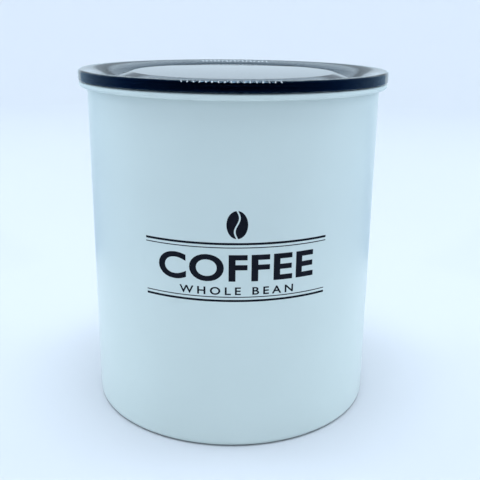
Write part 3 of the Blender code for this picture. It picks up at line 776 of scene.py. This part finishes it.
def make_print(ink):
    """Plain generic labelling: a bean, two double rules, and what the canister holds."""
    shapes = bean()
    shapes += [rule(TOP_RULE, THICK_RULE), rule(TOP_RULE - RULE_GAP, THIN_RULE)]
    shapes += [rule(BOTTOM_RULE, THICK_RULE), rule(BOTTOM_RULE + RULE_GAP, THIN_RULE)]
    shapes.append(lettering("COFFEE", WORD_WIDTH, WORD_BOTTOM, WORD_TOP, WORD_WEIGHT, WORD_SPACING))
    shapes.append(lettering("WHOLE BEAN", LINE_WIDTH, LINE_BOTTOM, LINE_TOP, LINE_WEIGHT, LINE_SPACING))
    mesh = bmesh.new()
    for shape in shapes:
        mesh.from_mesh(shape.data)
        bpy.data.objects.remove(shape)
    cuts = int(PRINT_WIDTH / PRINT_STEP)
    for index in range(1, cuts):
        place = (PRINT_STEP * index - PRINT_WIDTH / 2, 0, 0)
        geometry = mesh.verts[:] + mesh.edges[:] + mesh.faces[:]
        bmesh.ops.bisect_plane(mesh, geom=geometry, plane_co=place, plane_no=(1, 0, 0))
    for vertex in mesh.verts:
        u, v, w = vertex.co
        turn = PRINT_TURN - math.pi / 2 + u / CAN_RADIUS
        r = CAN_RADIUS - PRINT_SINK + w
        vertex.co = (r * math.cos(turn), r * math.sin(turn), v)
    data = bpy.data.meshes.new("front_print")
    mesh.to_mesh(data)
    mesh.free()
    label = link(bpy.data.objects.new("front_print", data))
    stand_in(label, "can", "print_ink", ink)


# ---------------------------------------------------------------- plunger
def rib(radius):
    """Corners of a low round rib on the deck."""
    crown = RIB_HALF_WIDTH - RIB_SLOPE
    return [
        (radius - RIB_HALF_WIDTH, 0.0, 0.0002),
        (radius - crown, RIB_HEIGHT, 0.0002),
        (radius + crown, RIB_HEIGHT, 0.0002),
        (radius + RIB_HALF_WIDTH, 0.0, 0.0002),
    ]


def plunger_deck():
    """The tray with its valve seat, ribs and collar, and the bail's lugs and rest pads."""
    wall = DECK_RADIUS - DECK_WALL
    seat = PORT_RADIUS + VALVE_SEAT_WIDTH
    inner_rib, outer_rib = RIB_RADII
    outline = filleted([
        (PORT_RADIUS, VALVE_SEAT_HEIGHT, 0),
        (seat, VALVE_SEAT_HEIGHT, 0.0003),
        (seat + 0.0004, 0.0, 0.0006),
        *rib(inner_rib),
        *rib(outer_rib),
        (wall, 0.0, 0.0020),
        (wall, DECK_WALL_HEIGHT, 0.0007),
        (DECK_RADIUS, DECK_WALL_HEIGHT, 0.0007),
        (DECK_RADIUS, -DECK_SHEET, 0.0003),
        (COLLAR_OUTSIDE, -DECK_SHEET, 0.0003),
        (COLLAR_OUTSIDE, -DECK_SHEET - COLLAR_DEPTH, 0.0003),
        (COLLAR_INSIDE, -DECK_SHEET - COLLAR_DEPTH, 0.0003),
        (COLLAR_INSIDE, -DECK_SHEET, 0),
        (PORT_RADIUS, -DECK_SHEET, 0),
    ], 4)
    deck = lathe("plunger_tray", [(r, DECK_TOP + z) for r, z in outline], True, INNER_STEPS)
    fittings = []
    axis = HANDLE_AXIS - DECK_TOP
    for side in (-1, 1):
        sole = [(-LUG_HALF_WIDTH, -DECK_SHEET / 2), (LUG_HALF_WIDTH, -DECK_SHEET / 2)]
        shape = sole + arc(0.0, axis, LUG_HALF_WIDTH, LUG_HALF_WIDTH, 0, 180, 28)
        hole = arc(0.0, axis, SHAFT_RADIUS + FIT_GAP, SHAFT_RADIUS + FIT_GAP, 0, 345, 23)
        post = baked(bevelled(plate("lug", [shape, hole], LUG_THICKNESS / 2), 0.0005, 2))
        fittings.append(along_x(post, (side * (LUG_INNER_X + LUG_THICKNESS / 2), 0.0, DECK_TOP)))
        height = axis - BAIL_TUBE_RADIUS - FIT_GAP
        pad = baked(bevelled(rod("rest_pad", REST_PAD_RADIUS, height + DECK_SHEET / 2), 0.0006, 3))
        pad_x = side * BAIL_HALF_SPAN * math.cos(REST_PAD_ANGLE)
        pad_y = BAIL_ARM + BAIL_BOW * math.sin(REST_PAD_ANGLE)
        fittings.append(moved(pad, (pad_x, pad_y, DECK_TOP + (height - DECK_SHEET / 2) / 2)))
    return combined(deck, fittings, "UNION")


def plunger_gasket():
    """The silicone ring, with one thin lip leaning up to the wall and one leaning down to it."""
    top = GASKET_CORE_TOP
    bottom = top - GASKET_CORE_HEIGHT
    inside = CLAMP_SPIGOT_RADIUS + FIT_GAP
    root = DECK_RADIUS + GASKET_ROOT_REACH
    core = DECK_RADIUS + GASKET_CORE_REACH
    lip = WIPER_HIGH.x
    thick = GASKET_LIP_SHEET
    outline = filleted([
        (inside, top, 0),
        (root, top, 0.0004),
        (lip - thick, top + GASKET_LIP_REACH, 0.0002),
        (lip, top + GASKET_LIP_REACH - thick, 0.0002),
        (core, top - thick, 0.0005),
        (core, bottom + thick, 0.0005),
        (lip, bottom - GASKET_LIP_REACH + thick, 0.0002),
        (lip - thick, bottom - GASKET_LIP_REACH, 0.0002),
        (root, bottom, 0.0004),
        (inside, bottom, 0),
    ], 3)
    return lathe("plunger_wiper", [(r, DECK_TOP + z) for r, z in outline], True, INNER_STEPS)


def plunger_clamp():
    """The ring under the gasket, with a spigot up through it."""
    flange = GASKET_CORE_TOP - GASKET_CORE_HEIGHT - FIT_GAP
    bottom = flange - CLAMP_SHEET
    outline = filleted([
        (CLAMP_INNER_RADIUS, GASKET_CORE_TOP, 0),
        (CLAMP_SPIGOT_RADIUS, GASKET_CORE_TOP, 0.0003),
        (CLAMP_SPIGOT_RADIUS, flange, 0),
        (DECK_RADIUS, flange, 0.0003),
        (DECK_RADIUS, bottom, 0.0008),
        (CLAMP_INNER_RADIUS, bottom, 0.0008),
        (CLAMP_INNER_RADIUS, GASKET_CORE_TOP - 0.001, 0),
    ], 3)
    return lathe("plunger_clamp", [(r, DECK_TOP + z) for r, z in outline], True, INNER_STEPS)


def valve_cover():
    """The domed housing with the slot at its foot that the cam shaft passes through."""
    outside = HOUSING_HIGH.x
    bore = outside - HOUSING_WALL
    dome = HOUSING_DOME
    outline = [(0.0, HOUSING_TOP)]
    outline += arc(outside - dome, HOUSING_TOP - dome, dome, dome, 90, 0, 14)
    outline += [(outside, FIT_GAP), (bore, FIT_GAP)]
    outline += arc(bore - dome, HOUSING_CEILING - dome, dome, dome, 0, 90, 10)
    outline += [(0.0, HOUSING_CEILING)]
    cover = lathe("valve_cover", [(r, DECK_TOP + z) for r, z in outline], False, COVER_STEPS)
    half = SHAFT_RADIUS + SHAFT_SLOT_GAP
    top = HANDLE_AXIS - DECK_TOP
    slot = [(-half, -0.001), (half, -0.001)] + arc(0, top, half, half, 0, 180, 20)
    cutter = along_x(plate("slot", [slot], 2 * outside), (0, 0, DECK_TOP))
    return combined(cover, [cutter], "DIFFERENCE")


def bail():
    """The round bail, folded flat towards the back, with a rounded hub at each end."""
    line = [(-BAIL_HALF_SPAN, 0.0), (-BAIL_HALF_SPAN, BAIL_ARM / 2)]
    line += arc(0.0, BAIL_ARM, BAIL_HALF_SPAN, BAIL_BOW, 180, 0, 48)
    line += [(BAIL_HALF_SPAN, BAIL_ARM / 2), (BAIL_HALF_SPAN, 0.0)]
    curve = bpy.data.curves.new("carry_bail", "CURVE")
    curve.dimensions = "3D"
    curve.bevel_depth = BAIL_TUBE_RADIUS
    curve.bevel_resolution = 8
    curve.use_fill_caps = True
    spline = curve.splines.new("POLY")
    spline.points.add(len(line) - 1)
    for point, (x, y) in zip(spline.points, line):
        point.co = (x, y, HANDLE_AXIS, 1)
    bow = welded(baked(link(bpy.data.objects.new("carry_bail", curve))), 1e-5)
    hubs = []
    sockets = []
    hub_inside = BAIL_HALF_SPAN - HUB_HALF_LENGTH
    depth = SHAFT_HALF_LENGTH + FIT_GAP - hub_inside
    for side in (-1, 1):
        hub = baked(bevelled(rod("hub", HUB_RADIUS, 2 * HUB_HALF_LENGTH), 0.0009, 4))
        hubs.append(along_x(hub, (side * BAIL_HALF_SPAN, 0, HANDLE_AXIS)))
        socket = rod("socket", SHAFT_RADIUS + FIT_GAP, 2 * depth, 32)
        sockets.append(along_x(socket, (side * hub_inside, 0, HANDLE_AXIS)))
    return combined(combined(bow, hubs, "UNION"), sockets, "DIFFERENCE")


def spring():
    """The valve's coil, flattened with the valve's lift."""
    wire = SPRING_WIRE_RADIUS
    low = SPRING_LOW.z + wire
    high = SPRING_HIGH.z - wire
    radius = SPRING_HIGH.x - wire
    curve = bpy.data.curves.new("coil", "CURVE")
    curve.dimensions = "3D"
    curve.bevel_depth = wire
    curve.bevel_resolution = 4
    curve.use_fill_caps = True
    line = curve.splines.new("POLY")
    steps = SPRING_TURNS * SPRING_TURN_STEPS
    line.points.add(steps)
    for index, point in enumerate(line.points):
        turn = 2 * math.pi * index / SPRING_TURN_STEPS
        height = low + (high - low) * index / steps
        point.co = (radius * math.cos(turn), radius * math.sin(turn), height, 1)
    return shade(welded(baked(link(bpy.data.objects.new("coil", curve)))))


def make_plunger(black, silicone, grey, handle_grey, wire_steel):
    stand_in(plunger_deck(), "plunger", "black_plastic", black, "plunger_deck")
    stand_in(plunger_gasket(), "plunger", "clear_silicone", silicone, "plunger_gasket")
    stand_in(plunger_clamp(), "plunger", "black_plastic", black, "plunger_clamp_ring")
    stand_in(valve_cover(), "plunger", "grey_plastic", grey, "valve_housing")
    stand_in(bail(), "handle", "handle_plastic", handle_grey, "bail_handle")
    coil = stand_in(spring(), "plunger", "spring_steel", wire_steel, "valve_spring")
    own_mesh(coil)


# ---------------------------------------------------------------- stage, light and camera
def sweep_material():
    """The pale backdrop with painted light: its tone grows lighter away from the can and up the wall, with no
    line between its floor and its wall.
    """
    material, tree, shader = new_material("sweep_painted_light")
    place = tree.nodes.new("ShaderNodeTexCoord")
    reach = tree.nodes.new("ShaderNodeVectorMath")
    reach.operation = "LENGTH"
    tree.links.new(place.outputs["Object"], reach.inputs[0])
    # Painted light: the tone rises from the floor's to the wall's over this reach.
    away = spread(tree, reach.outputs["Value"], 0, 1, PAINTED_LIGHT_START, FLOOR_RADIUS + WALL_BEND)
    graded = tinted(tree, away, scaled(SWEEP_COLOUR, FLOOR_TONE), scaled(SWEEP_COLOUR, WALL_PAINTED_LIGHT_TONE))
    tree.links.new(graded, shader.inputs["Base Color"])
    shader.inputs["Roughness"].default_value = 0.8
    return material


def flag_material():
    """What the gloss reflects: near black in front, deep blue at the sides, and paler further round."""
    material, tree, shader = new_material("dark_flag")
    place = tree.nodes.new("ShaderNodeTexCoord")
    split = tree.nodes.new("ShaderNodeSeparateXYZ")
    tree.links.new(place.outputs["Object"], split.inputs["Vector"])
    side = spread(tree, split.outputs["Y"], 0, 1, -FLAG_RADIUS, 0)
    behind = spread(tree, split.outputs["Y"], 0, 1, -0.2 * FLAG_RADIUS, 0.8 * FLAG_RADIUS)
    mix = tree.nodes.new("ShaderNodeMix")
    mix.data_type = "RGBA"
    mix.inputs["B"].default_value = (*FLAG_BEHIND, 1)
    tree.links.new(behind, mix.inputs["Factor"])
    tree.links.new(tinted(tree, side, FLAG_AHEAD, FLAG_BESIDE), mix.inputs["A"])
    tree.links.new(mix.outputs["Result"], shader.inputs["Emission Color"])
    shader.inputs["Emission Strength"].default_value = 1.0
    shader.inputs["Base Color"].default_value = (0, 0, 0, 1)
    shader.inputs["Specular IOR Level"].default_value = 0.0
    return material


def fill_material():
    """The grey of the panel that keeps the front of the can a little darker than its sides."""
    material, tree, shader = new_material("grey_fill")
    cloud = spread(tree, noise(tree, 6, 2), 0, 1)
    graded = tinted(tree, cloud, (0.20, 0.21, 0.22), (0.23, 0.24, 0.25))
    tree.links.new(graded, shader.inputs["Base Color"])
    shader.inputs["Roughness"].default_value = 0.9
    return material


def facing_front(obj, half_angle):
    """Keeps the part of a turned shape that is within half_angle of the front."""
    mesh = bmesh.new()
    mesh.from_mesh(obj.data)
    away = []
    for face in mesh.faces:
        centre = face.calc_center_median()
        if abs(math.atan2(centre.x, -centre.y)) > half_angle:
            away.append(face)
    bmesh.ops.delete(mesh, geom=away, context="FACES")
    mesh.to_mesh(obj.data)
    mesh.free()
    return obj


def make_stage():
    """A flat floor, a wall that curves up round it, a dark flag for the gloss and a grey panel in front."""
    pale = sweep_material()
    disc = [(0.0, -FLOOR_DROP), (FLOOR_RADIUS, -FLOOR_DROP)]
    floor = paint(lathe("floor", disc, False, STAGE_STEPS), pale)
    profile = arc(FLOOR_RADIUS, WALL_BEND - FLOOR_DROP, WALL_BEND, WALL_BEND, -90, 0, 24)
    profile += [(FLOOR_RADIUS + WALL_BEND, WALL_TOP)]
    wall = paint(lathe("studio_wall", profile, False, STAGE_STEPS), pale)
    wall.visible_glossy = False
    down = -math.degrees(math.asin(LID_HIGH.z / FLAG_RADIUS))
    profile = arc(0, LID_HIGH.z, FLAG_RADIUS, FLAG_RADIUS, FLAG_TOP, down, 24)
    profile += [(FLAG_FOOT_RADIUS, FLAG_FOOT_HEIGHT)]
    flag = facing_front(lathe("dark_flag", profile, False, STAGE_STEPS), FLAG_HALF_ANGLE)
    paint(flag, flag_material())
    flag.visible_camera = False
    flag.visible_diffuse = False
    flag.visible_transmission = False
    flag.visible_shadow = False
    profile = arc(0, 0, FLAG_RADIUS, FLAG_RADIUS, FILL_TOP, 0, 8)
    fill = facing_front(lathe("grey_fill", profile, False, STAGE_STEPS), FILL_HALF_ANGLE)
    paint(fill, fill_material())
    fill.visible_camera = False
    fill.visible_glossy = False
    fill.visible_transmission = False


def area_light(name, place, target, size, power):
    data = bpy.data.lights.new(name, "AREA")
    data.shape = "DISK"
    data.size = size
    data.energy = power
    data.color = LAMP_COLOUR
    lamp = link(bpy.data.objects.new(name, data))
    lamp.location = place
    lamp.rotation_euler = (Vector(target) - Vector(place)).to_track_quat("-Z", "Y").to_euler()
    return lamp


def make_light():
    """Pale cool light from above and all round, brighter from behind, and none from under the horizon."""
    world = bpy.data.worlds.new("soft_sky")
    world.use_nodes = True
    tree = world.node_tree
    sky = tree.nodes["Background"]
    place = tree.nodes.new("ShaderNodeTexCoord")
    split = tree.nodes.new("ShaderNodeSeparateXYZ")
    tree.links.new(place.outputs["Generated"], split.inputs["Vector"])
    ramp = tree.nodes.new("ShaderNodeValToRGB")
    tree.links.new(spread(tree, split.outputs["Z"], 0, 1, LOWEST_SKY, 1), ramp.inputs["Fac"])
    stops = ramp.color_ramp.elements
    while len(stops) < len(SKY_LEVELS):
        stops.new(1.0)
    for stop, (height, level) in zip(stops, SKY_LEVELS):
        stop.position = (height - LOWEST_SKY) / (1 - LOWEST_SKY)
        stop.color = (*scaled(SKY_COLOUR, level), 1)
    tree.links.new(ramp.outputs["Color"], sky.inputs["Color"])
    tree.links.new(spread(tree, split.outputs["Y"], SKY_FRONT, SKY_BACK, -1, 1), sky.inputs["Strength"])
    bpy.context.scene.world = world
    bpy.context.scene.view_settings.view_transform = "Standard"
    area_light("overhead", (0, -LAMP_FORWARD, LAMP_HEIGHT), (0, 0, 0), LAMP_SIZE, LAMP_POWER)
    for side in (-1, 1):
        stand = (side * SIDE_OUT, SIDE_BACK, SIDE_HEIGHT)
        lamp = area_light("side", stand, (0, 0, SIDE_AIM), SIDE_SIZE, SIDE_POWER)
        lamp.visible_glossy = False


def make_camera():
    data = bpy.data.cameras.new("camera")
    data.sensor_width = SENSOR_WIDTH
    data.lens = CAMERA_LENS
    data.clip_start = 0.01
    camera = link(bpy.data.objects.new("camera", data))
    aim = Matrix.Rotation(math.pi / 2 - CAMERA_PITCH, 4, "X") @ Matrix.Rotation(CAMERA_ROLL, 4, "Z")
    camera.matrix_world = Matrix.Translation((CAMERA_SIDE, -CAMERA_DISTANCE, CAMERA_HEIGHT)) @ aim
    bpy.context.scene.camera = camera


make_camera()
coat = powder_coat()
inner_steel = brushed_steel("wall_steel", 0.62, (0.04, 0.04, 1))
bottom_steel = brushed_steel("base_steel", 0.60, (0.06, 1, 1))
rod_steel = brushed_steel("rod_steel", 0.58, (0.1, 1, 1))
wire_steel = brushed_steel("wire_steel", 0.6, (1, 1, 1), (0.18, 0.3))
smoke = smoke_plastic()
dark_rubber = rubber("dark_rubber", (0.020, 0.016, 0.013), (0.034, 0.027, 0.022))
silicone = rubber("silicone", (0.62, 0.65, 0.67), (0.72, 0.74, 0.76), (0.3, 0.42), 0.35)
black = moulded_plastic("black_plastic", (0.020, 0.021, 0.024))
grey = moulded_plastic("grey_plastic", (0.115, 0.118, 0.124), (0.3, 0.42))
handle_grey = moulded_plastic("handle_plastic", (0.085, 0.087, 0.092), (0.34, 0.46))
ink = print_ink()
NODE_MATERIALS = {
    "can_base": bottom_steel,
    "valve_grille": grey,
    "valve_poppet": grey,
    "valve_seal": silicone,
    "cam_shaft": rod_steel,
}
for node, material in NODE_MATERIALS.items():
    paint(frame["nodes"][node], material)

make_can(coat, inner_steel)
make_lid(smoke, dark_rubber, pip_painted_glint())
make_print(ink)
make_plunger(black, silicone, grey, handle_grey, wire_steel)
make_stage()
make_light()
